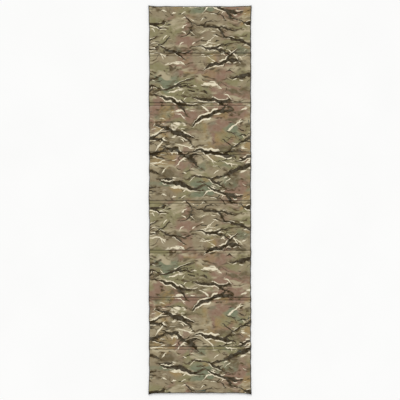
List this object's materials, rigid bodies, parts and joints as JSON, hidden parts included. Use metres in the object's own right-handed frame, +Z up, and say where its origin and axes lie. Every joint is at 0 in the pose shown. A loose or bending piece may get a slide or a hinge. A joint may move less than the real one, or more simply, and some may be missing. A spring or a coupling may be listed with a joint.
{
  "type": "folding padded mat",
  "caption": "Long thin padded mat of foam panels sewn into one camouflage cloth cover, hinged at its stitched webs so that it folds zigzag into a stack.",
  "frame": {"origin": "on the ground under the middle of the mat's length and width", "axes": "+Z up, Y along the mat's length with panel 1 at the +Y end, X across its width"},
  "size_m": [0.504, 1.9, 0.01],
  "materials": {
    "camouflage_cloth": "matt printed polyester weave, blotches and twigs in tan, brown, green and cream",
    "base_cloth": "dark grey-brown coated weave",
    "binding_tape": "dark woven tape",
    "thread": "twisted polyester thread",
    "foam": "closed-cell polyethylene foam"
  },
  "bodies": {
    "panel_1": {"foam_core_1": "foam", "top_cover_1": "camouflage_cloth", "base_cover_1": "base_cloth", "edge_binding_1": "binding_tape", "stitching_1": "thread", "fold_web_1": "camouflage_cloth"},
    "panel_2": {"foam_core_2": "foam", "top_cover_2": "camouflage_cloth", "base_cover_2": "base_cloth", "edge_binding_2": "binding_tape", "stitching_2": "thread", "fold_web_2": "camouflage_cloth"},
    "panel_3": {"foam_core_3": "foam", "top_cover_3": "camouflage_cloth", "base_cover_3": "base_cloth", "edge_binding_3": "binding_tape", "stitching_3": "thread", "fold_web_3": "camouflage_cloth"},
    "panel_4": {"foam_core_4": "foam", "top_cover_4": "camouflage_cloth", "base_cover_4": "base_cloth", "edge_binding_4": "binding_tape", "stitching_4": "thread", "fold_web_4": "camouflage_cloth"},
    "panel_5": {"foam_core_5": "foam", "top_cover_5": "camouflage_cloth", "base_cover_5": "base_cloth", "edge_binding_5": "binding_tape", "stitching_5": "thread", "fold_web_5": "camouflage_cloth"},
    "panel_6": {"foam_core_6": "foam", "top_cover_6": "camouflage_cloth", "base_cover_6": "base_cloth", "edge_binding_6": "binding_tape", "stitching_6": "thread", "fold_web_6": "camouflage_cloth"},
    "panel_7": {"foam_core_7": "foam", "top_cover_7": "camouflage_cloth", "base_cover_7": "base_cloth", "edge_binding_7": "binding_tape", "stitching_7": "thread", "fold_web_7": "camouflage_cloth"},
    "panel_8": {"foam_core_8": "foam", "top_cover_8": "camouflage_cloth", "base_cover_8": "base_cloth", "edge_binding_8": "binding_tape", "stitching_8": "thread"}
  },
  "joints": [
    {"name": "fold_1", "type": "hinge", "parent": "panel_1", "child": "panel_2", "pos_m": [0, 0.71, 0.01015], "axis": [-1, 0, 0], "range_deg": [0, 179.5], "deforming": ["fold_web_1"]},
    {"name": "fold_2", "type": "hinge", "parent": "panel_2", "child": "panel_3", "pos_m": [0, 0.468, -0.00015], "axis": [1, 0, 0], "range_deg": [0, 179.5], "deforming": ["fold_web_2"]},
    {"name": "fold_3", "type": "hinge", "parent": "panel_3", "child": "panel_4", "pos_m": [0, 0.228, 0.01015], "axis": [-1, 0, 0], "range_deg": [0, 179.5], "deforming": ["fold_web_3"]},
    {"name": "fold_4", "type": "hinge", "parent": "panel_4", "child": "panel_5", "pos_m": [0, -0.01, -0.00015], "axis": [1, 0, 0], "range_deg": [0, 179.5], "deforming": ["fold_web_4"]},
    {"name": "fold_5", "type": "hinge", "parent": "panel_5", "child": "panel_6", "pos_m": [0, -0.252, 0.01015], "axis": [-1, 0, 0], "range_deg": [0, 179.5], "deforming": ["fold_web_5"]},
    {"name": "fold_6", "type": "hinge", "parent": "panel_6", "child": "panel_7", "pos_m": [0, -0.482, -0.00015], "axis": [1, 0, 0], "range_deg": [0, 179.5], "deforming": ["fold_web_6"]},
    {"name": "fold_7", "type": "hinge", "parent": "panel_7", "child": "panel_8", "pos_m": [0, -0.722, 0.01015], "axis": [-1, 0, 0], "range_deg": [0, 179.5], "deforming": ["fold_web_7"]}
  ],
  "couplings": [
    {"joint": "fold_2", "follows": "fold_1", "ratio": 1},
    {"joint": "fold_4", "follows": "fold_3", "ratio": 1},
    {"joint": "fold_6", "follows": "fold_5", "ratio": 1}
  ]
}
